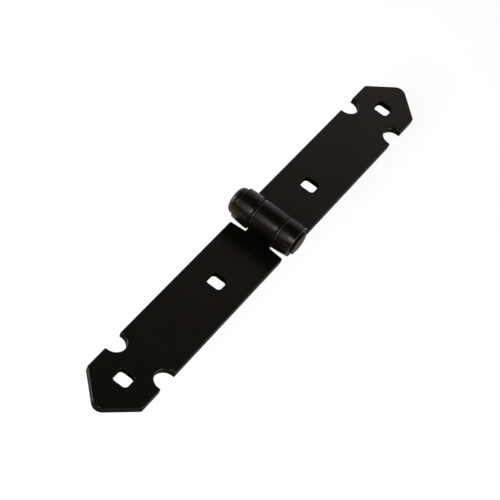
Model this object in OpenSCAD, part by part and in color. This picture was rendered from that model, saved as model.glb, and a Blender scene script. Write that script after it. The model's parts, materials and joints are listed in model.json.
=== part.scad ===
// Black strap hinge: two long straps joined by a riveted pin through three rolled knuckles.
// X runs along the straps, Y along the pin, and Z=0 is the plane of the straps' backs.
// The origin lies under the pin, midway across the straps. All sizes are in millimetres.

/* [Straps] */
// Width of both straps
strap_width = 35; // [30:1:45]
// Thickness of the steel sheet
sheet = 4; // [3:0.5:5]
// From the pin's axis to the tip of each strap
reach = 152.2; // [150:0.1:200]
// Radius of the blunt tip between its two slanting edges
tip_radius = 5.2; // [2:0.1:8]
// Angle between those edges and the middle line of the strap
tip_angle = 45; // [40:1:50]
// Radius of the scallops that set off the head from the strap
scallop_radius = 6.3; // [5.5:0.1:7]
// Depth of the scallops, measured in from the strap's edge
scallop_depth = 7.6; // [4:0.1:9]
// From the pin's axis to the middle of the scallops
scallop_reach = 115.4; // [110:0.1:117]

/* [Bolt holes] */
// Side of the square holes for carriage bolts
hole_side = 9; // [7:0.5:11]
// Radius of the square holes' corners
hole_corner = 2.2; // [0.5:0.1:3]
// From the pin's axis to the inner holes
inner_hole_reach = 46.7; // [30:0.1:60]
// From the pin's axis to the outer holes
outer_hole_reach = 129.6; // [128:0.1:135]

/* [Knuckles] */
// Outside diameter of the rolled knuckles
knuckle_diameter = 19; // [17:0.5:21]
// Height of the barrel's underside above the straps' backs
barrel_lift = 2.3; // [1.5:0.1:2.4]
// Length of the middle knuckle
middle_knuckle = 16; // [10:0.5:20]
// How far the outer knuckles bulge past the edges of the straps
barrel_bulge = 1.2; // [0.5:0.1:3]
// Gap on each side of the middle knuckle
side_gap = 0.3; // [0.2:0.05:0.6]
// Gap between the square end of each strap and the other strap's knuckles
shoulder_gap = 1.5; // [1:0.1:3]
// How much farther out those ends stand at the strap's edges
shoulder_slant = 1; // [0:0.1:1.5]
// Chamfer on the outer ends of the barrel
barrel_chamfer = 0.8; // [0.3:0.1:1.2]
// Gap between the sheet and the free end of the roll
seam_gap = 0.25; // [0.1:0.05:0.6]

/* [Pin] */
// Radial clearance between the pin and its bores
pin_clearance = 0.05; // [0.02:0.01:0.1]
// How far the domed head spreads past the pin all round
head_spread = 2.6; // [2:0.1:3]
// Height of the domed head
head_height = 5.3; // [5:0.1:7]
// Radius round the edge of the domed head
head_edge = 3.5; // [1.5:0.1:3.5]
// Radius of the dome itself
dome_radius = 18; // [18:1:40]
// How far the riveted disc at the other end spreads past the pin all round
disc_spread = 1.4; // [1.2:0.1:2.5]
// Thickness of the riveted disc
disc_thickness = 1.3; // [0.8:0.1:1.5]
// Chamfer on both edges of the riveted disc
disc_chamfer = 0.3; // [0.1:0.1:0.3]
// Length of the neck between the barrel and the riveted disc
neck_length = 1.1; // [0.3:0.1:1.2]
// How far that neck spreads past the pin all round
neck_spread = 0.8; // [0.5:0.1:1]

/* [Hidden] */
$fn = 96;

// How far a cutting solid runs past the face it cuts
past = 1;
// How far two solids that are joined run into each other
joined = 2;
// Reach of the cutting shapes that start at the pin's axis
far = 40;
// How far the round edge of the domed head would stand out of the dome
edge_proud = 0.05;

half_width = strap_width / 2;
knuckle_radius = knuckle_diameter / 2;
bore_radius = knuckle_radius - sheet;
pin_radius = bore_radius - pin_clearance;
barrel_end = half_width + barrel_bulge;
middle_end = middle_knuckle / 2;
axis_height = knuckle_radius + barrel_lift;

// The tip is a round of tip_radius, and both slanting edges run into it.
tip_centre = reach - tip_radius;
tip_touch = tip_radius * [sin(tip_angle), cos(tip_angle)];
head_corner = tip_centre + tip_radius / sin(tip_angle) - half_width / tan(tip_angle);

// The sheet lifts off its back plane on a wide arc that runs into the knuckle's own round.
// The two arcs meet on a line through the pin's axis, in this direction of a 3-4-5 triangle.
meeting = [-0.6, -0.8];
arc_offset = barrel_lift / (1 + meeting.y);
rise_radius = knuckle_radius + arc_offset;
rise_start = -arc_offset * meeting.x;

// The strap ends where its top edge clears the other strap's knuckles.
shoulder_reach = max(rise_start,
    sqrt(pow(knuckle_radius + shoulder_gap, 2) - pow(axis_height - sheet, 2)));

// The roll ends just above the sheet, at this angle below the +X direction.
end_radius = rise_radius - sheet - seam_gap;
roll_end = acos(
    (pow(arc_offset, 2) + pow(knuckle_radius, 2) - pow(end_radius, 2))
    / (2 * arc_offset * knuckle_radius)) - atan2(-meeting.y, -meeting.x);

black = [0.1, 0.1, 0.095];
pin_black = [0.14, 0.14, 0.135];

// A square with rounded corners, centred.
module round_square(side, corner) {
    square([side, side - 2 * corner], center = true);
    square([side - 2 * corner, side], center = true);
    for (x = [-1, 1], y = [-1, 1])
        translate([x, y] * (side / 2 - corner)) circle(corner);
}

// The flat sheet of a strap that points along +X, seen from above.
module strap_outline() {
    difference() {
        union() {
            polygon([
                [shoulder_reach, middle_end],
                [shoulder_reach + shoulder_slant, half_width],
                [head_corner, half_width],
                [tip_centre + tip_touch.x, tip_touch.y],
                [tip_centre + tip_touch.x, -tip_touch.y],
                [head_corner, -half_width],
                [shoulder_reach + shoulder_slant, -half_width],
                [shoulder_reach, -middle_end]
            ]);
            translate([tip_centre, 0]) circle(tip_radius);
        }
        for (side = [-1, 1])
            translate([scallop_reach, side * (half_width - scallop_depth + scallop_radius)])
                circle(scallop_radius);
        for (hole_reach = [inner_hole_reach, outer_hole_reach])
            translate([hole_reach, 0]) round_square(hole_side, hole_corner);
    }
}

// In the XZ plane, the sheet that comes in from +X and lifts off its back plane.
module sheet_rise() {
    core_radius = sheet / 4;
    translate([rise_start, 0]) square([shoulder_reach + joined - rise_start, sheet]);
    intersection() {
        translate([rise_start, rise_radius]) difference() {
            circle(rise_radius);
            circle(rise_radius - sheet);
        }
        translate([0, axis_height]) polygon([
            [0, 0],
            far * meeting,
            [rise_start, far * meeting.y],
            [rise_start, 0]
        ]);
    }
    // Core of the sheet, which carries on into the knuckle
    translate([0, axis_height] + (bore_radius + sheet / 2) * meeting) circle(core_radius);
}

// In the XZ plane, the round of the knuckle, open where its free end meets the sheet.
module knuckle_round() {
    translate([0, axis_height]) difference() {
        circle(knuckle_radius);
        circle(bore_radius);
        polygon([
            [0, 0],
            far * meeting,
            [0, far * meeting.y],
            far * [cos(roll_end), -sin(roll_end)]
        ]);
    }
}

// Runs an XZ profile from one place along the pin to another.
module along_pin(from, to) {
    translate([0, to, 0]) rotate([90, 0, 0]) linear_extrude(to - from) children();
}

// Cuts the chamfer on one end of the barrel.
module end_chamfer() {
    translate([0, barrel_end, axis_height]) rotate([90, 0, 0])
        rotate_extrude() polygon([
            [knuckle_radius - barrel_chamfer, -past],
            [knuckle_radius - barrel_chamfer, 0],
            [knuckle_radius, barrel_chamfer],
            [knuckle_radius + past, barrel_chamfer],
            [knuckle_radius + past, -past]
        ]);
}

// Leaf along -X, with the knuckle in the middle of the barrel.
module one_knuckle_leaf() {
    color(black) mirror([1, 0, 0]) {
        linear_extrude(sheet) strap_outline();
        along_pin(-middle_end, middle_end) sheet_rise();
        along_pin(-middle_end, middle_end) knuckle_round();
    }
}

// Leaf along +X, with the two outer knuckles, which bulge a little past the strap's edges.
module two_knuckle_leaf() {
    fork_end = middle_end + side_gap;
    color(black) {
        linear_extrude(sheet) strap_outline();
        for (side = [0, 1]) mirror([0, side, 0]) {
            along_pin(fork_end, half_width) sheet_rise();
            difference() {
                along_pin(fork_end, barrel_end) knuckle_round();
                end_chamfer();
            }
        }
    }
}

// Domed head, standing on Z=0. Its round edge stands a little proud of the dome, which trims it.
module domed_head() {
    head_radius = pin_radius + head_spread;
    ring_radius = head_radius - head_edge;
    ring_height = head_height - dome_radius + edge_proud
        + sqrt(pow(dome_radius - head_edge, 2) - pow(ring_radius, 2));
    intersection() {
        union() {
            cylinder(h = ring_height, r = head_radius);
            cylinder(h = head_height + past, r = ring_radius);
            translate([0, 0, ring_height])
                rotate_extrude() translate([ring_radius, 0]) circle(head_edge);
        }
        translate([0, 0, head_height - dome_radius]) sphere(dome_radius);
        cylinder(h = head_height + past, r = dome_radius);
    }
}

// Riveted disc, hanging below Z=0.
module riveted_disc() {
    disc_radius = pin_radius + disc_spread;
    rotate_extrude() polygon([
        [0, 0],
        [disc_radius - disc_chamfer, 0],
        [disc_radius, -disc_chamfer],
        [disc_radius, disc_chamfer - disc_thickness],
        [disc_radius - disc_chamfer, -disc_thickness],
        [0, -disc_thickness]
    ]);
}

// Pin through all three knuckles, held by its two heads.
module hinge_pin() {
    disc_height = -barrel_end - neck_length;
    shank_foot = disc_height - disc_thickness / 2;
    color(pin_black) translate([0, 0, axis_height]) rotate([-90, 0, 0]) {
        translate([0, 0, shank_foot]) {
            cylinder(h = barrel_end + joined - shank_foot, r = pin_radius);
            cylinder(h = -barrel_end - shank_foot, r = pin_radius + neck_spread);
        }
        translate([0, 0, barrel_end]) domed_head();
        translate([0, 0, disc_height]) riveted_disc();
    }
}

one_knuckle_leaf();
two_knuckle_leaf();
hinge_pin();
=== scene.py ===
"""Strap hinge in satin black powder coat, lying open: two rolled leaves on one riveted pin."""

import json
import logging
import math
from dataclasses import dataclass, replace
from enum import Enum, IntEnum
from typing import Any, Iterable, Sequence

import bmesh
import bpy
from mathutils import Matrix, Vector


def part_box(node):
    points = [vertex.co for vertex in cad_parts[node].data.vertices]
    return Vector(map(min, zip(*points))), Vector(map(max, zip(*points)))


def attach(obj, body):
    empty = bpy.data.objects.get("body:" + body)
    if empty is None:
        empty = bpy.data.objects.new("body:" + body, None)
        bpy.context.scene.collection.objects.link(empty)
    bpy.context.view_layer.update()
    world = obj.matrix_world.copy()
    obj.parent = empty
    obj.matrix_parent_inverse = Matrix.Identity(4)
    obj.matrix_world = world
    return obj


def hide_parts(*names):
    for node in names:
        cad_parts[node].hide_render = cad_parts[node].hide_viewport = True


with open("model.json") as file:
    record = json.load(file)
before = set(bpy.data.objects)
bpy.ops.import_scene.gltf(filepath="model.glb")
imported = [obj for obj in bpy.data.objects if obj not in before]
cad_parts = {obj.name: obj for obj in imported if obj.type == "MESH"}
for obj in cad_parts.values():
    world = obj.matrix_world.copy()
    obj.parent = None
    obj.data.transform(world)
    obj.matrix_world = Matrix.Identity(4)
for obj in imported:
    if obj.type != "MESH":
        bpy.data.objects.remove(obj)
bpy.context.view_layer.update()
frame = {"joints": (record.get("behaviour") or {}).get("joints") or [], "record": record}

log = logging.getLogger("strap_hinge")

MM = 0.001
ALONG_PIN = Vector((0, 1, 0))
UPWARD = Vector((0, 0, 1))
# Vertices closer than this are one vertex
WELD = 1e-6


class Side(Enum):
    """The way in which a leaf points from the pin, as a turn about Z in degrees."""

    PLUS_X = 0
    MINUS_X = 180


class LeafCoatAndShade(IntEnum):
    """The leaf's coat and the painted shade of its walls, as the material numbers of its faces."""

    COAT = 0
    # Painted shade: the walls are darker and duller with little shine, and the hole walls have no
    # shine at all.
    SHADED_SHEARED_WALL = 1
    SHADED_HOLE_WALL = 2


# ---------------------------------------------------------------- sizes


@dataclass(frozen=True)
class HingeSizes:
    """Sizes that both leaves and the pin share, in metres, worked out from the frame.

    Args:
        reach: From the pin's axis to the tip of each strap.
        half_width: Half the width of the straps.
        barrel_end: Half the length of the barrel.
        axis_height: Height of the pin's axis over the straps' backs.
        knuckle_radius: Outside radius of the rolled knuckles.
        holes: Distances of the square holes from the pin's axis.
        sheet: Thickness of the steel sheet.
    """

    reach: float
    half_width: float
    barrel_end: float
    axis_height: float
    knuckle_radius: float
    holes: tuple[float, ...]
    sheet: float = 4.0 * MM

    @classmethod
    def from_frame(cls) -> "HingeSizes":
        """Reads the CAD boxes, the joint and the bolt holes.

        Returns:
            The sizes of this hinge.
        """
        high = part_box("two_knuckle_leaf")[1]
        narrow_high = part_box("one_knuckle_leaf")[1]
        axis_height = frame["joints"][0]["pos_m"][2]
        holes = tuple(
            mount["pos_m"][0]
            for mount in frame["record"]["mounts"]
            if mount["fit"] == "bolted" and mount["pos_m"][0] > 0
        )
        return cls(
            reach=high.x,
            half_width=narrow_high.y,
            barrel_end=high.y,
            axis_height=axis_height,
            knuckle_radius=high.z - axis_height,
            holes=holes,
        )

    @property
    def pin_axis(self) -> Vector:
        """A point on the pin's axis, midway along it."""
        return Vector((0, 0, self.axis_height))

    @property
    def bore_radius(self) -> float:
        """Radius of the bore in the knuckles."""
        return self.knuckle_radius - self.sheet


# ---------------------------------------------------------------- mesh tools


class Pen:
    """Draws one chain of edges by extruding and spinning a single vertex.

    Args:
        mesh: The bmesh to draw in.
        start: Where the chain begins.
    """

    def __init__(self, mesh: bmesh.types.BMesh, start: Sequence[float]) -> None:
        """Starts the chain with one vertex."""
        self.mesh = mesh
        self.tip = bmesh.ops.create_vert(mesh, co=start)["vert"][0]

    def line_to(self, point: Sequence[float]) -> "Pen":
        """Draws a straight edge.

        Args:
            point: Where the edge ends.

        Returns:
            The pen, so that calls can be chained.
        """
        self.tip = bmesh.ops.extrude_vert_indiv(self.mesh, verts=[self.tip])["verts"][0]
        self.tip.co = point
        return self

    def arc(
        self, centre: Sequence[float], axis: Sequence[float], degrees: float, steps: int
    ) -> "Pen":
        """Draws an arc.

        Args:
            centre: Centre of the arc.
            axis: Direction that the pen turns about, by the right-hand rule.
            degrees: How far it turns.
            steps: Number of edges in the arc.

        Returns:
            The pen, so that calls can be chained.
        """
        made = bmesh.ops.spin(
            self.mesh,
            geom=[self.tip],
            cent=centre,
            axis=axis,
            angle=math.radians(degrees),
            steps=steps,
            use_duplicate=False,
        )
        self.tip = next(v for v in made["geom_last"] if isinstance(v, bmesh.types.BMVert))
        return self


def round_edges(
    mesh: bmesh.types.BMesh, edges: Iterable[bmesh.types.BMEdge], radius: float, segments: int
) -> None:
    """Rounds edges with an even bevel.

    Args:
        mesh: The bmesh that holds them.
        edges: The edges to round.
        radius: Radius of the round.
        segments: Number of faces across it.
    """
    bmesh.ops.bevel(
        mesh,
        geom=list(edges),
        offset=radius,
        offset_type="OFFSET",
        segments=segments,
        profile=0.5,
        affect="EDGES",
        clamp_overlap=False,
        material=-1,
        loop_slide=False,
    )


def round_corners(
    mesh: bmesh.types.BMesh, corners: Iterable[bmesh.types.BMVert], radius: float, segments: int
) -> None:
    """Rounds the corners of flat faces.

    Args:
        mesh: The bmesh that holds them.
        corners: The vertices to round.
        radius: How far along its edges each corner is cut back.
        segments: Number of edges across each round.
    """
    bmesh.ops.bevel(
        mesh,
        geom=list(corners),
        offset=radius,
        offset_type="OFFSET",
        segments=segments,
        profile=0.5,
        affect="VERTICES",
        clamp_overlap=False,
        material=-1,
    )


def finished_piece(
    mesh: bmesh.types.BMesh, name: str, materials: Sequence[bpy.types.Material]
) -> bpy.types.Object:
    """Turns a bmesh into a smooth shaded object at the origin.

    Args:
        mesh: The bmesh, which is freed.
        name: Name of the piece.
        materials: Its coats, and for a leaf the painted shade of its walls, in the order of its
            faces' material numbers.

    Returns:
        The new object, linked to the scene.
    """
    bmesh.ops.remove_doubles(mesh, verts=mesh.verts, dist=WELD)
    bmesh.ops.dissolve_degenerate(mesh, edges=mesh.edges, dist=WELD)
    bmesh.ops.recalc_face_normals(mesh, faces=mesh.faces)
    for face in mesh.faces:
        face.smooth = True
    open_edges = sum(not edge.is_manifold for edge in mesh.edges)
    data = bpy.data.meshes.new(name)
    mesh.to_mesh(data)
    mesh.free()
    for material in materials:
        data.materials.append(material)
    piece = bpy.data.objects.new(name, data)
    bpy.context.scene.collection.objects.link(piece)
    weighting = piece.modifiers.new("even_normals", "WEIGHTED_NORMAL")
    weighting.mode = "FACE_AREA"
    weighting.weight = 100
    log.info("%s: %d faces, %d open edges", name, len(data.polygons), open_edges)
    return piece


# ---------------------------------------------------------------- pieces


@dataclass(frozen=True)
class Drop:
    """A small drop or run in the coat, on the front of a leaf.

    Args:
        place: Its middle, along and across the strap.
        radius: Half its width.
        length: Half its length, for a run.
        turn: Direction of a run, in degrees from the strap's length.
        rise: Its height over the face, as a share of its radius.
    """

    place: tuple[float, float]
    radius: float
    length: float = 0.0
    turn: float = 0.0
    rise: float = 0.7

    def add(self, mesh: bmesh.types.BMesh, height: float) -> None:
        """Lays the drop on a face.

        Args:
            mesh: The bmesh to add it to.
            height: Height of the face.
        """
        length = max(self.length, self.radius)
        size = Matrix.Diagonal((length, self.radius, self.rise * self.radius, 1))
        turn = Matrix.Rotation(math.radians(self.turn), 4, "Z")
        spot = Matrix.Translation((*self.place, height))
        bmesh.ops.create_icosphere(mesh, subdivisions=3, radius=1.0, matrix=spot @ turn @ size)


@dataclass
class Leaf:
    """One strap of sheet steel, with its arrow head and its rolled knuckles.

    Args:
        sizes: Sizes shared with the other pieces.
        name: Name of the piece.
        node: The CAD node that it stands for.
        body: The CAD body that it rides on.
        side: The way in which it points.
        knuckles: Inner and outer end of the knuckle on the +Y half, along the pin.
        bulge: How far the knuckle spreads past its outer end while it is rolled.
        drops: Small drops and runs that the coat has left on its front.
    """

    sizes: HingeSizes
    name: str
    node: str
    body: str
    side: Side
    knuckles: tuple[float, float]
    bulge: float = 0.0
    drops: tuple[Drop, ...] = ()

    # The strap's outline, seen from above
    tip_radius: float = 5.2 * MM
    tip_degrees: float = 45.0
    tip_steps: int = 8
    scallop_radius: float = 6.3 * MM
    scallop_depth: float = 7.6 * MM
    scallop_reach: float = 115.4 * MM
    scallop_steps: int = 24
    shoulder_reach: float = 7.4 * MM
    shoulder_slant: float = 0.9 * MM
    # Outer corners that turn more than this many degrees are rounded
    sharp_corner: float = 30.0
    corner_round: float = 0.7 * MM
    corner_segments: int = 4
    # The square holes
    hole_side: float = 9.0 * MM
    hole_corner: float = 2.2 * MM
    hole_segments: int = 8
    # The rims of the sheet, which are the edges that turn more than this many degrees
    sharp_rim: float = 80.0
    front_round: float = 0.8 * MM
    hole_round: float = 0.4 * MM
    back_round: float = 0.3 * MM
    round_segments: int = 4
    # Faces that rise less than this are walls
    wall_rise: float = 0.3
    # Direction from the pin's axis to where the sheet's rise runs into the knuckle's round
    meeting: tuple[float, float] = (-0.6, -0.8)
    rise_steps: int = 8
    roll_degrees: float = 285.6
    roll_steps: int = 72
    # How much lower the knuckle is at its two ends than in its middle
    crown: float = 0.2 * MM
    crown_cuts: int = 80
    # The sheared lips roll over: how wide, how deep, and the round at their very edge
    lip_width: float = 1.7 * MM
    lip_depth: float = 0.3 * MM
    lip_round: float = 0.5 * MM
    # Direction from the pin's axis to the roll's underside, on the -X leaf's side
    underside: tuple[float, float] = (0.77, -0.64)
    # How far a pair of knuckles sags out underneath, at their inner ends
    sag: float = 0.9 * MM

    def build(self, coats_and_shades: Sequence[bpy.types.Material]) -> bpy.types.Object:
        """Makes the leaf and lets it stand for its CAD node.

        Args:
            coats_and_shades: The leaf's coat, then the painted shade of its sheared walls, then
                that of its hole walls, in the order of their material numbers.

        Returns:
            The finished piece.
        """
        mesh = bmesh.new()
        self.draw_outline(mesh)
        self.punch_holes(mesh)
        self.thicken(mesh)
        self.round_rims(mesh)
        # Painted shade: the walls get darker, duller coats than the front.
        self.paint_wall_shade(mesh)
        self.roll_knuckles(mesh)
        for drop in self.drops:
            drop.add(mesh, self.sizes.sheet)
        turn = Matrix.Rotation(math.radians(self.side.value), 3, "Z")
        bmesh.ops.rotate(mesh, verts=mesh.verts, cent=(0, 0, 0), matrix=turn)
        piece = finished_piece(mesh, self.name, coats_and_shades)
        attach(piece, self.body)
        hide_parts(self.node)
        return piece

    def draw_outline(self, mesh: bmesh.types.BMesh) -> None:
        """Draws the strap's outline with its tongues, seen from above, as one flat face.

        Args:
            mesh: The bmesh to draw in.
        """
        edge = self.sizes.half_width
        slant = math.radians(self.tip_degrees)
        tip_centre = self.sizes.reach - self.tip_radius
        head_corner = tip_centre + self.tip_radius / math.sin(slant) - edge / math.tan(slant)
        scallop_height = edge - self.scallop_depth + self.scallop_radius
        mouth_angle = math.asin((edge - scallop_height) / self.scallop_radius)
        mouth = self.scallop_radius * math.cos(mouth_angle)
        sweep = 180 + 2 * math.degrees(mouth_angle)

        pen = Pen(mesh, (self.sizes.reach, 0, 0))
        pen.arc((tip_centre, 0, 0), UPWARD, 90 - self.tip_degrees, self.tip_steps)
        pen.line_to((head_corner, edge, 0))
        pen.line_to((self.scallop_reach + mouth, edge, 0))
        pen.arc((self.scallop_reach, scallop_height, 0), UPWARD, -sweep, self.scallop_steps)
        inner, outer = self.knuckles
        tongue_end = -self.shoulder_reach
        if outer < edge:
            pen.line_to((self.shoulder_reach + self.shoulder_slant, edge, 0))
            pen.line_to((self.shoulder_reach, outer, 0))
        pen.line_to((tongue_end, outer, 0))
        if inner > 0:
            pen.line_to((tongue_end, inner, 0))
            pen.line_to((self.shoulder_reach, inner, 0))
            pen.line_to((self.shoulder_reach, 0, 0))
        else:
            pen.line_to((tongue_end, 0, 0))
        bmesh.ops.mirror(mesh, geom=mesh.verts[:] + mesh.edges[:], axis="Y", merge_dist=WELD)
        bmesh.ops.remove_doubles(mesh, verts=mesh.verts, dist=WELD)
        bmesh.ops.contextual_create(mesh, geom=mesh.edges[:])
        corners = [
            vert
            for vert in mesh.verts
            if vert.calc_edge_angle() > math.radians(self.sharp_corner)
            and vert.co.x > self.shoulder_reach + WELD
        ]
        round_corners(mesh, corners, self.corner_round, self.corner_segments)

    def punch_holes(self, mesh: bmesh.types.BMesh) -> None:
        """Adds the square holes and fills the sheet round them.

        Args:
            mesh: The bmesh that holds the outline's face.
        """
        for reach in self.sizes.holes:
            corners = bmesh.ops.create_grid(
                mesh,
                x_segments=1,
                y_segments=1,
                size=self.hole_side / 2,
                matrix=Matrix.Translation((reach, 0, 0)),
            )["verts"]
            round_corners(mesh, corners, self.hole_corner, self.hole_segments)
        bmesh.ops.delete(mesh, geom=mesh.faces[:], context="FACES_ONLY")
        bmesh.ops.triangle_fill(mesh, use_beauty=True, edges=mesh.edges[:])

    def thicken(self, mesh: bmesh.types.BMesh) -> None:
        """Gives the flat sheet its thickness.

        Args:
            mesh: The bmesh that holds the flat sheet on Z=0.
        """
        grown = bmesh.ops.extrude_face_region(mesh, geom=mesh.faces[:])["geom"]
        front = [v for v in grown if isinstance(v, bmesh.types.BMVert)]
        bmesh.ops.translate(mesh, verts=front, vec=UPWARD * self.sizes.sheet)
        bmesh.ops.recalc_face_normals(mesh, faces=mesh.faces)

    def round_rims(self, mesh: bmesh.types.BMesh) -> None:
        """Rounds the rims of the sheet, its holes' fronts less than the others.

        Args:
            mesh: The bmesh that holds the sheet.
        """
        fronts = self.rims(mesh, self.sizes.sheet)
        hole_fronts = [edge for edge in fronts if self.in_hole(edge.verts[0].co)]
        outer_fronts = [edge for edge in fronts if edge not in hole_fronts]
        round_edges(mesh, hole_fronts, self.hole_round, self.round_segments)
        round_edges(mesh, outer_fronts, self.front_round, self.round_segments)
        round_edges(mesh, self.rims(mesh, 0), self.back_round, self.round_segments)

    def rims(self, mesh: bmesh.types.BMesh, height: float) -> list[bmesh.types.BMEdge]:
        """Finds the rims of one side of the sheet, before its corners are round.

        Args:
            mesh: The bmesh that holds the sheet.
            height: Height of that side.

        Returns:
            The sharp edges at that height.
        """
        return [
            edge
            for edge in mesh.edges
            if edge.calc_face_angle(0) > math.radians(self.sharp_rim)
            and all(abs(vert.co.z - height) < WELD for vert in edge.verts)
        ]

    def paint_wall_shade(self, mesh: bmesh.types.BMesh) -> None:
        """Gives the walls of the strap and of its holes their own darker, duller coats, which
        paint shade on them.

        Args:
            mesh: The bmesh that holds the rounded sheet.
        """
        mesh.normal_update()
        for face in mesh.faces:
            place = face.calc_center_median()
            if abs(face.normal.z) < self.wall_rise and place.x > self.shoulder_reach:
                in_hole = self.in_hole(place)
                # Painted shade: hole walls get a coat without shine, the other walls a darker,
                # duller one.
                face.material_index = LeafCoatAndShade.SHADED_HOLE_WALL if in_hole else LeafCoatAndShade.SHADED_SHEARED_WALL

    def in_hole(self, place: Vector) -> bool:
        """Tells whether a place on the strap's rims or walls belongs to a square hole.

        Args:
            place: The place, with the strap along X from the pin's axis.

        Returns:
            True beside a square hole.
        """
        return any(
            abs(place.x - reach) < self.hole_side and abs(place.y) < self.hole_side
            for reach in self.sizes.holes
        )

    def roll_knuckles(self, mesh: bmesh.types.BMesh) -> None:
        """Cuts the tongues where they leave the flat, and rolls them round the pin.

        Args:
            mesh: The bmesh that holds the rounded flat sheet.
        """
        radius = self.sizes.knuckle_radius
        arc_offset = (self.sizes.axis_height - radius) / (1 + self.meeting[1])
        rise_start = -arc_offset * self.meeting[0]
        rise_centre = Vector((rise_start, 0, radius + arc_offset))
        rise_angle = math.atan2(-self.meeting[0], -self.meeting[1])

        bmesh.ops.bisect_plane(
            mesh,
            geom=mesh.verts[:] + mesh.edges[:] + mesh.faces[:],
            plane_co=(rise_start, 0, 0),
            plane_no=(1, 0, 0),
            clear_inner=True,
        )
        wide = [e for e in mesh.edges if e.is_boundary and e.calc_length() > self.sizes.sheet]
        bmesh.ops.subdivide_edges(mesh, edges=wide, cuts=self.crown_cuts)
        rim = [e for e in mesh.edges if e.is_boundary]
        flat = set(mesh.verts)
        rim = self.spin(mesh, rim, rise_centre, rise_angle, self.rise_steps)
        risen = set(mesh.verts) - flat
        rim = self.spin(
            mesh, rim, self.sizes.pin_axis, math.radians(self.roll_degrees), self.roll_steps
        )
        rolled = set(mesh.verts) - flat - risen
        bmesh.ops.holes_fill(mesh, edges=rim, sides=0)
        for vert in risen:
            turn = math.atan2(rise_start - vert.co.x, rise_centre.z - vert.co.z)
            self.shape_knuckle(vert, turn / rise_angle)
        for vert in rolled:
            self.shape_knuckle(vert, 1)

    def spin(
        self,
        mesh: bmesh.types.BMesh,
        rim: list[bmesh.types.BMEdge],
        centre: Vector,
        angle: float,
        steps: int,
    ) -> list[bmesh.types.BMEdge]:
        """Carries the cut rim of the sheet round a centre.

        Args:
            mesh: The bmesh that holds it.
            rim: The open edges.
            centre: A point on the axis to turn about.
            angle: How far to turn, in radians.
            steps: Number of faces along the turn.

        Returns:
            The open edges at the far end of the turn.
        """
        verts = {v for edge in rim for v in edge.verts}
        last = bmesh.ops.spin(
            mesh,
            geom=[*verts, *rim],
            cent=centre,
            axis=ALONG_PIN,
            angle=angle,
            steps=steps,
            use_duplicate=False,
        )["geom_last"]
        return [e for e in last if isinstance(e, bmesh.types.BMEdge)]

    def shape_knuckle(self, vert: bmesh.types.BMVert, done: float) -> None:
        """Spreads the knuckle past the strap's edge, crowns its round and rolls its lips over.

        Args:
            vert: A vertex of the rise or the roll.
            done: How far the sheet is bent there, from 0 in the flat to 1 in the roll.
        """
        ease = done * done * (3 - 2 * done)
        inner, outer = self.knuckles
        single = inner == 0
        away = abs(vert.co.y)
        across = (away - inner) / (outer - inner)
        to_seam = max(outer - away if single else away - inner, 0)
        to_lip = max(min(outer - away, to_seam), 0)
        vert.co.y += math.copysign(self.bulge * across * ease, vert.co.y)

        out = vert.co - self.sizes.pin_axis
        out.y = 0
        depth = (out.length - self.sizes.bore_radius) / self.sizes.sheet
        out.normalize()
        toward, down = self.underside
        under = max(out.dot(Vector((toward if single else -toward, 0, down))), 0) ** 2

        inset = max(self.lip_round - to_lip, 0)
        lip = self.lip_depth * max(1 - to_seam / self.lip_width, 0) ** 2
        lip += self.lip_round - math.sqrt(self.lip_round**2 - inset**2)
        off_middle = across if single else 2 * across - 1
        drop = self.crown * off_middle**2 + lip * (1 - under)
        if not single:
            drop -= self.sag * (1 - across) * under
        vert.co -= out * drop * ease * min(max(depth, 0), 1)


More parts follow.
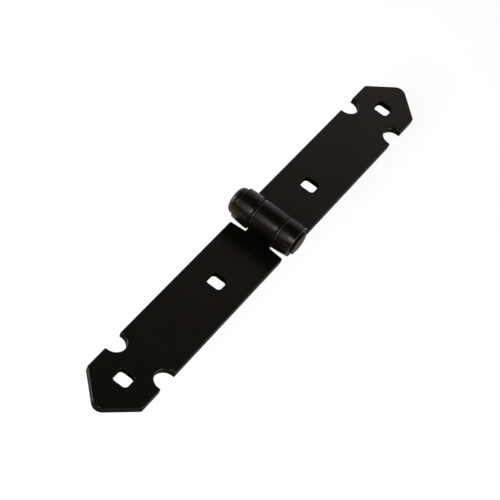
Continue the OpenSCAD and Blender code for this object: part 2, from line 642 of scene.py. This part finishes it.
@dataclass
class RivetedPin:
    """The pin with its domed head and its riveted disc, turned about its axis.

    Args:
        sizes: Sizes shared with the leaves.
        name: Name of the piece.
        node: The CAD node that it stands for.
        body: The CAD body that it rides on.
    """

    sizes: HingeSizes
    name: str
    node: str
    body: str

    # Between the shank and the bore
    clearance: float = 0.05 * MM
    # The domed head: its dome runs into the round of its edge, and that into its side
    head_radius: float = 8.05 * MM
    head_edge: float = 3.5 * MM
    dome_radius: float = 18.0 * MM
    foot_round: float = 0.4 * MM
    # The riveted disc on its neck, and the dome of its face
    disc_radius: float = 6.85 * MM
    disc_thickness: float = 1.8 * MM
    disc_round: float = 0.3 * MM
    disc_dome: float = 24.0 * MM
    neck_radius: float = 6.25 * MM
    # Edges in each arc of the section, and in a full turn
    dome_steps: int = 12
    edge_steps: int = 10
    small_steps: int = 4
    disc_steps: int = 16
    turn_steps: int = 96

    def build(self, material: bpy.types.Material) -> bpy.types.Object:
        """Makes the pin and lets it stand for its CAD node.

        Args:
            material: Finish of the pin.

        Returns:
            The finished piece.
        """
        mesh = bmesh.new()
        self.draw_profile(mesh)
        bmesh.ops.spin(
            mesh,
            geom=mesh.verts[:] + mesh.edges[:],
            cent=self.sizes.pin_axis,
            axis=ALONG_PIN,
            angle=math.tau,
            steps=self.turn_steps,
            use_merge=True,
            use_duplicate=False,
        )
        piece = finished_piece(mesh, self.name, [material])
        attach(piece, self.body)
        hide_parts(self.node)
        return piece

    def at(self, along: float, radius: float) -> Vector:
        """A point of the profile, from its place along the pin and its distance from the axis."""
        return self.sizes.pin_axis + Vector((radius, along, 0))

    def draw_profile(self, mesh: bmesh.types.BMesh) -> None:
        """Draws half of the pin's section, from the top of the dome to the face of the disc.

        Args:
            mesh: The bmesh to draw in.
        """
        low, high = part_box(self.node)
        end = self.sizes.barrel_end
        shank = self.sizes.bore_radius - self.clearance
        toward_rim = Vector((0, 0, -1))

        dome_centre = high.y - self.dome_radius
        ring = self.head_radius - self.head_edge
        lean = math.asin(ring / (self.dome_radius - self.head_edge))
        ring_place = dome_centre + (self.dome_radius - self.head_edge) * math.cos(lean)
        foot = end + self.foot_round
        foot_centre = self.at(foot, self.head_radius - self.foot_round)
        pen = Pen(mesh, self.at(high.y, 0))
        pen.arc(self.at(dome_centre, 0), toward_rim, math.degrees(lean), self.dome_steps)
        pen.arc(self.at(ring_place, ring), toward_rim, 90 - math.degrees(lean), self.edge_steps)
        pen.line_to(self.at(foot, self.head_radius))
        pen.arc(foot_centre, toward_rim, 90, self.small_steps)

        pen.line_to(self.at(end, shank))
        pen.line_to(self.at(-end, shank))
        pen.line_to(self.at(-end, self.neck_radius))

        disc_back = low.y + self.disc_thickness
        disc_flat = self.disc_radius - self.disc_round
        disc_lean = math.asin(self.disc_radius / self.disc_dome)
        disc_edge = low.y + self.disc_dome * (1 - math.cos(disc_lean))
        disc_centre = self.at(low.y + self.disc_dome, 0)
        pen.line_to(self.at(disc_back, self.neck_radius))
        pen.line_to(self.at(disc_back, disc_flat))
        pen.arc(
            self.at(disc_back - self.disc_round, disc_flat), toward_rim, 90, self.small_steps
        )
        pen.line_to(self.at(disc_edge, self.disc_radius))
        pen.arc(disc_centre, toward_rim, math.degrees(disc_lean), self.disc_steps)


# ---------------------------------------------------------------- finishes


class Socket:
    """A shader socket whose operators add Math nodes.

    Args:
        shader: The node tree that it belongs to.
        link: The output socket that it wraps.
    """

    def __init__(self, shader: "Shader", link: bpy.types.NodeSocket) -> None:
        """Keeps the link, and the shader that new nodes go into."""
        self.shader = shader
        self.link = link

    def _math(self, operation: str, *values: Any) -> "Socket":
        """Adds a Math node on these values."""
        return self.shader.add("ShaderNodeMath", {"operation": operation}, dict(enumerate(values)))

    def __add__(self, other: Any) -> "Socket":
        """Sum of this and other."""
        return self._math("ADD", self, other)

    def __radd__(self, other: Any) -> "Socket":
        """Sum of other and this."""
        return self._math("ADD", other, self)

    def __sub__(self, other: Any) -> "Socket":
        """This less other."""
        return self._math("SUBTRACT", self, other)

    def __rsub__(self, other: Any) -> "Socket":
        """Other less this."""
        return self._math("SUBTRACT", other, self)

    def __mul__(self, other: Any) -> "Socket":
        """Product of this and other."""
        return self._math("MULTIPLY", self, other)

    def __rmul__(self, other: Any) -> "Socket":
        """Product of other and this."""
        return self._math("MULTIPLY", other, self)

    def __or__(self, other: Any) -> "Socket":
        """The greater of this and other, so either mask."""
        return self._math("MAXIMUM", self, other)


class Shader:
    """Builds one node tree.

    Args:
        tree: The tree, which is emptied first.
    """

    def __init__(self, tree: bpy.types.NodeTree) -> None:
        """Takes a tree and empties it."""
        self.tree = tree
        tree.nodes.clear()

    def add(
        self,
        kind: str,
        settings: dict[str, Any] | None = None,
        inputs: dict[Any, Any] | None = None,
        output: int | str = 0,
    ) -> Socket:
        """Adds any node.

        Args:
            kind: Type of the node.
            settings: Its properties, which are set first.
            inputs: Values or links of its sockets, by name or number.
            output: The output socket to hand back.

        Returns:
            The chosen output, or the node's first one.
        """
        node = self.tree.nodes.new(kind)
        for key, value in (settings or {}).items():
            setattr(node, key, value)
        for key, value in (inputs or {}).items():
            if isinstance(value, Socket):
                self.tree.links.new(value.link, node.inputs[key])
            else:
                node.inputs[key].default_value = value
        outputs = node.outputs
        return Socket(self, outputs[output]) if len(outputs) else Socket(self, None)

    def ramp(self, factor: Socket, low: float, high: float) -> Socket:
        """A number that rises from 0 to 1 while factor goes from low to high."""
        ends = {"Value": factor, "From Min": low, "From Max": high}
        return self.add("ShaderNodeMapRange", {}, ends)

    def noise(self, place: Socket, scale: float, detail: float) -> Socket:
        """Cloudy noise at a place, from 0 to 1."""
        grain = {"Vector": place, "Scale": scale, "Detail": detail}
        return self.add("ShaderNodeTexNoise", {}, grain)

    def split(self, vector: Socket, axis: str) -> Socket:
        """One coordinate of a vector: X, Y or Z."""
        return self.add("ShaderNodeSeparateXYZ", {}, {"Vector": vector}, output=axis)


@dataclass(frozen=True)
class SatinCoat:
    """Satin black powder coat on steel.

    Args:
        name: Name of the material.
        thin: Colour of the coat where it is thin.
        thick: Colour of the coat where it is thick.
        roughness: Lowest and highest roughness of its patches.
        specular: Strength of its shine.
        warmth: Tint of its shine where it is looked at squarely.
        grain: Height of its fine orange peel, in metres.
        dull_below: Place along the pin below which it is rubbed dull.
        dull_gain: How much rougher it is there.
        dull_fade: How far along the pin it takes to grow dull.
        patch_edges: Where in the noise one patch of the coat begins and the other ends.
        peel_share: Weight of the fine peel against the wide swell.
        peel_roughness: How much the fine peel changes the roughness.
    """

    name: str
    thin: tuple[float, float, float]
    thick: tuple[float, float, float]
    roughness: tuple[float, float]
    specular: float
    warmth: tuple[float, float, float]
    grain: float
    dull_below: float | None = None
    dull_gain: float = 0.25
    dull_fade: float = 0.2 * MM
    patch_edges: tuple[float, float] = (0.35, 0.65)
    peel_share: float = 0.4
    peel_roughness: float = 0.04

    def material(self) -> bpy.types.Material:
        """Makes the material.

        Returns:
            The new material.
        """
        made = bpy.data.materials.new(self.name)
        made.use_nodes = True
        shader = Shader(made.node_tree)
        place = shader.add("ShaderNodeTexCoord", output="Object")
        cloud = shader.noise(place, scale=45.0, detail=3.0)
        swell = shader.noise(place, scale=160.0, detail=2.0)
        peel = shader.noise(place, scale=900.0, detail=2.0)
        patches = shader.ramp(cloud, *self.patch_edges)
        colour = shader.add(
            "ShaderNodeMix",
            {"data_type": "RGBA"},
            {"Factor": patches, 6: (*self.thin, 1.0), 7: (*self.thick, 1.0)},
            output=2,
        )
        low, high = self.roughness
        roughness = low + patches * (high - low) + (peel - 0.5) * self.peel_roughness
        if self.dull_below is not None:
            along = shader.split(place, "Y")
            dull = shader.ramp(along, self.dull_below, self.dull_below - self.dull_fade)
            roughness = roughness + dull * self.dull_gain
        bump = shader.add(
            "ShaderNodeBump",
            {},
            {"Height": peel * self.peel_share + swell, "Distance": self.grain, "Strength": 1.0},
        )
        coat = shader.add(
            "ShaderNodeBsdfPrincipled",
            {},
            {
                "Base Color": colour,
                "Roughness": roughness,
                "Normal": bump,
                "Specular IOR Level": self.specular,
                "Specular Tint": (*self.warmth, 1.0),
            },
        )
        shader.add("ShaderNodeOutputMaterial", {}, {"Surface": coat})
        return made


@dataclass(frozen=True)
class PaleGround:
    """Pale floor that looks white and still takes a soft shadow.

    Args:
        name: Name of the material.
        tone: Grey of its own surface.
        glow: Light that it adds for what looks at it or mirrors it.
    """

    name: str = "pale_ground"
    tone: float = 0.4
    glow: float = 0.71

    def material(self) -> bpy.types.Material:
        """Makes the material.

        Returns:
            The new material.
        """
        made = bpy.data.materials.new(self.name)
        made.use_nodes = True
        shader = Shader(made.node_tree)
        seen = (
            shader.add("ShaderNodeLightPath", output="Is Camera Ray")
            | shader.add("ShaderNodeLightPath", output="Is Glossy Ray")
            | shader.add("ShaderNodeLightPath", output="Is Transmission Ray")
        )
        matt = shader.add("ShaderNodeBsdfDiffuse", {}, {"Color": (self.tone,) * 3 + (1.0,)})
        glow = shader.add("ShaderNodeEmission", {}, {"Strength": seen * self.glow})
        ground = shader.add("ShaderNodeAddShader", {}, {0: matt, 1: glow})
        shader.add("ShaderNodeOutputMaterial", {}, {"Surface": ground})
        return made


# ---------------------------------------------------------------- studio


@dataclass(frozen=True)
class Softbox:
    """A soft studio lamp that points at the hinge.

    Args:
        name: Name of the lamp.
        azimuth: Direction that it stands in, in degrees from +X towards +Y.
        elevation: Its height over the horizon, in degrees.
        distance: How far it stands from the hinge, in metres.
        width: Its width, in metres.
        height: Its height, in metres.
        power: Its power, in watts.
    """

    name: str
    azimuth: float
    elevation: float
    distance: float
    width: float
    height: float
    power: float

    def place(self) -> bpy.types.Object:
        """Puts the lamp in the scene.

        Returns:
            The lamp's object.
        """
        data = bpy.data.lights.new(self.name, "AREA")
        data.shape = "RECTANGLE"
        data.size = self.width
        data.size_y = self.height
        data.energy = self.power
        lamp = bpy.data.objects.new(self.name, data)
        turn, lift = math.radians(self.azimuth), math.radians(self.elevation)
        stand = Vector(
            (math.cos(turn) * math.cos(lift), math.sin(turn) * math.cos(lift), math.sin(lift))
        )
        lamp.location = stand * self.distance
        lamp.rotation_euler = stand.to_track_quat("Z", "Y").to_euler()
        bpy.context.scene.collection.objects.link(lamp)
        return lamp


@dataclass(frozen=True)
class Viewpoint:
    """Where the camera stands, over the -X leaf and looking down along the hinge.

    Args:
        azimuth: Direction that it stands in, in degrees from -Y towards +X.
        elevation: Its height over the horizon, in degrees.
        roll: How far it is rolled, in degrees.
        aim: The point that it looks at.
        distance: How far it stands from there.
        lens: Its focal length, in millimetres.
        shift: How far its frame is shifted sideways and upwards.
    """

    azimuth: float = -74.28
    elevation: float = 49.43
    roll: float = 23.98
    aim: tuple[float, float, float] = (-12.4 * MM, 9.15 * MM, 0.0)
    distance: float = 915.8 * MM
    lens: float = 122.86
    shift: tuple[float, float] = (0.0262, -0.0231)

    def stand_camera(self) -> None:
        """Stands the scene's camera there."""
        azimuth, elevation = math.radians(self.azimuth), math.radians(self.elevation)
        back = Vector(
            (
                math.sin(azimuth) * math.cos(elevation),
                -math.cos(azimuth) * math.cos(elevation),
                math.sin(elevation),
            )
        )
        data = bpy.data.cameras.new("camera")
        data.sensor_width = 36.0
        data.lens = self.lens
        data.shift_x, data.shift_y = self.shift
        data.clip_start = 0.01
        data.clip_end = 20.0
        camera = bpy.data.objects.new("camera", data)
        level = back.to_track_quat("Z", "Y").to_matrix()
        rolled = level @ Matrix.Rotation(math.radians(self.roll), 3, "Z")
        stand = Vector(self.aim) + back * self.distance
        camera.matrix_world = Matrix.Translation(stand) @ rolled.to_4x4()
        bpy.context.scene.collection.objects.link(camera)
        bpy.context.scene.camera = camera


@dataclass(frozen=True)
class Studio:
    """Floor, backdrop, lamps and camera.

    Args:
        sizes: Sizes of the hinge.
        lamps: The soft lamps.
        horizon: Light that comes from the horizon, where 1 is white.
        zenith: Light that comes from straight above.
        fade: Between which heights of a ray the horizon's light fades away.
        dim_side: Share of the horizon's light that is missing on the -X side.
        side_fade: How far towards -X a ray has to point for that to begin, and to be full.
        floor_half: Half the width of the floor.
        floor_gap: Room between the floor and the lowest place that a strap reaches.
    """

    sizes: HingeSizes
    lamps: tuple[Softbox, ...] = (
        Softbox("front_lamp", 168, 38, distance=1.4, width=0.7, height=1.0, power=3.5),
        Softbox("near_lamp", 188, 43, distance=1.4, width=0.25, height=0.4, power=7),
        Softbox("disc_end_lamp", -98, 6, distance=1.5, width=0.8, height=0.5, power=17),
        Softbox("head_end_lamp", 105, 9, distance=1.5, width=0.8, height=0.5, power=17),
    )
    horizon: float = 0.97
    zenith: float = 0.08
    fade: tuple[float, float] = (0.66, 0.8)
    dim_side: float = 1.0
    side_fade: tuple[float, float] = (0.0, 0.35)
    floor_half: float = 20.0
    floor_gap: float = 4.0 * MM

    def build(self) -> None:
        """Makes everything round the hinge."""
        self.lay_floor()
        self.light_world()
        for lamp in self.lamps:
            lamp.place()
        Viewpoint().stand_camera()

    def lay_floor(self) -> None:
        """Lays the floor just lower than the straps reach when they fold back."""
        fold = math.radians(abs(min(frame["joints"][0]["range_deg"])))
        lowest = self.sizes.axis_height - self.sizes.reach * math.sin(fold)
        mesh = bmesh.new()
        bmesh.ops.create_grid(mesh, x_segments=1, y_segments=1, size=self.floor_half)
        bmesh.ops.translate(mesh, verts=mesh.verts, vec=(0, 0, lowest - self.floor_gap))
        data = bpy.data.meshes.new("floor")
        mesh.to_mesh(data)
        mesh.free()
        data.materials.append(PaleGround().material())
        floor = bpy.data.objects.new("floor", data)
        bpy.context.scene.collection.objects.link(floor)

    def light_world(self) -> None:
        """Gives the world a pale horizon that fades towards a dim zenith and a dim side."""
        world = bpy.data.worlds.new("studio")
        bpy.context.scene.world = world
        world.use_nodes = True
        shader = Shader(world.node_tree)
        ray = shader.add("ShaderNodeTexCoord", output="Generated")
        behind = shader.split(ray, "X") * -1
        low = 1 - shader.ramp(shader.split(ray, "Z"), *self.fade)
        bright = 1 - shader.ramp(behind, *self.side_fade) * self.dim_side
        strength = self.zenith + low * bright * (self.horizon - self.zenith)
        light = shader.add("ShaderNodeBackground", {}, {"Strength": strength})
        shader.add("ShaderNodeOutputWorld", {}, {"Surface": light})


# ---------------------------------------------------------------- all together


@dataclass
class StrapHinge:
    """The whole hinge.

    Args:
        sizes: Its shared sizes.
        middle_end: Half the length of the middle knuckle.
        side_gap: Gap between it and each of the outer knuckles.
    """

    sizes: HingeSizes
    middle_end: float = 8.0 * MM
    side_gap: float = 0.3 * MM

    def build(self) -> list[bpy.types.Object]:
        """Makes every piece.

        Returns:
            The finished pieces.
        """
        leaf_coats_and_shades = self.leaf_coats_and_shades()
        fork_end = self.middle_end + self.side_gap
        one = Leaf(
            sizes=self.sizes,
            name="one_knuckle_strap",
            node="one_knuckle_leaf",
            body="one_knuckle_side",
            side=Side.MINUS_X,
            knuckles=(0.0, self.middle_end),
            drops=(
                Drop((6.5 * MM, -2.5 * MM), 0.2 * MM, length=4.2 * MM, turn=84),
                Drop((6.8 * MM, 1.8 * MM), 0.4 * MM),
                Drop((11.6 * MM, 10.5 * MM), 0.4 * MM),
                Drop((22.5 * MM, -9.2 * MM), 0.3 * MM),
                Drop((30.9 * MM, -1.4 * MM), 0.25 * MM),
            ),
        )
        two = Leaf(
            sizes=self.sizes,
            name="two_knuckle_strap",
            node="two_knuckle_leaf",
            body="two_knuckle_side",
            side=Side.PLUS_X,
            knuckles=(fork_end, self.sizes.half_width),
            bulge=self.sizes.barrel_end - self.sizes.half_width,
        )
        pin = RivetedPin(
            sizes=self.sizes, name="riveted_pin", node="hinge_pin", body="two_knuckle_side"
        )
        return [
            one.build(leaf_coats_and_shades),
            two.build(leaf_coats_and_shades),
            pin.build(self.pin_coat().material()),
        ]

    def leaf_coats_and_shades(self) -> list[bpy.types.Material]:
        """Mixes the leaves' coat and the painted shade of their walls.

        Returns:
            One material for each LeafCoatAndShade, in their order.
        """
        coat = SatinCoat(
            name="leaf_coat",
            thin=(0.0016, 0.0018, 0.0003),
            thick=(0.001, 0.0011, 0.0002),
            roughness=(0.25, 0.29),
            specular=0.25,
            warmth=(1.0, 0.78, 0.67),
            grain=0.005 * MM,
        )
        # Painted shade: the walls get a darker, rougher coat with little shine, so that they look
        # shaded.
        walls = replace(
            coat,
            name="wall_coat_painted_shade",
            thin=(0.0012, 0.0013, 0.0003),
            thick=(0.0008, 0.0009, 0.0002),
            roughness=(0.5, 0.6),
            specular=0.04,
        )
        # Painted shade: the hole walls have no shine at all, so that they look black.
        hole_walls = replace(walls, name="hole_wall_painted_shade", specular=0.0)
        return [coat.material(), walls.material(), hole_walls.material()]

    def pin_coat(self) -> SatinCoat:
        """Mixes the finish of the pin, which its riveting has rubbed dull on the disc.

        Returns:
            The finish.
        """
        return SatinCoat(
            name="pin_coat",
            thin=(0.0016, 0.0018, 0.0003),
            thick=(0.001, 0.0011, 0.0002),
            roughness=(0.28, 0.33),
            specular=0.25,
            warmth=(1.0, 0.78, 0.67),
            grain=0.005 * MM,
            dull_below=-self.sizes.barrel_end,
        )


def main() -> None:
    """Builds the hinge and its studio."""
    logging.basicConfig(level=logging.INFO, format="%(name)s: %(message)s")
    bpy.context.scene.view_settings.view_transform = "Standard"
    sizes = HingeSizes.from_frame()
    Studio(sizes).build()
    for piece in StrapHinge(sizes).build():
        log.info("made %s", piece.name)
    bpy.context.view_layer.update()


if __name__ == "__main__":
    main()
